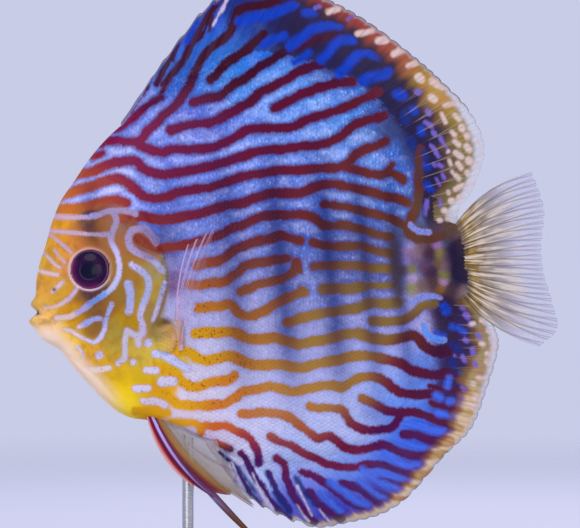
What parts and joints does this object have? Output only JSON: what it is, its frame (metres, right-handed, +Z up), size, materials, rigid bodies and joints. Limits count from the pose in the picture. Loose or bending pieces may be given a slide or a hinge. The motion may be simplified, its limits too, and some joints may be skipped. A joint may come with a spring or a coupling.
{
  "type": "discus fish model",
  "caption": "Life-size still model of a tall, round, flat-sided tropical fish with wavy blue and red stripes, on a plain rod stand.",
  "frame": {"origin": "on the underside of the stand's base, under the middle of the model's overall box", "axes": "+Z up, the fish's snout toward -X and its tail toward +X, its left flank toward -Y"},
  "size_m": [0.1503, 0.06, 0.1693],
  "materials": {
    "skin": "wet, finely scaled skin in wavy turquoise and crimson stripes, orange and yellow on the face and belly",
    "dorsal_fin": "cobalt blue and maroon streaks between fine rays, olive and cream spotted rear edge",
    "anal_fin": "blue and maroon streaks between fine rays, tan edge with pale spots",
    "tail_fin": "clear membrane with cream and grey rays, yellow at the root",
    "pectoral_fin": "clear pinkish membrane with fine rays, yellow fleshy root",
    "pelvic_fin": "red, maroon, lavender and olive rays with clear membrane",
    "eye": "polished, near-black maroon with a black pupil",
    "stand_paint": "satin black paint",
    "stand_steel": "fine brushed"
  },
  "bodies": {
    "root": {"head": "skin", "trunk": "skin", "tail_stalk": "skin", "dorsal_fin_front": "dorsal_fin", "dorsal_fin_rear": "dorsal_fin", "anal_fin_front": "anal_fin", "anal_fin_rear": "anal_fin", "tail_fin": "tail_fin", "pectoral_fin_left": "pectoral_fin", "pectoral_fin_right": "pectoral_fin", "pelvic_fin_left": "pelvic_fin", "pelvic_fin_right": "pelvic_fin", "eye_left": "eye", "eye_right": "eye", "stand_base": "stand_paint", "stand_rod": "stand_steel"}
  },
  "joints": []
}
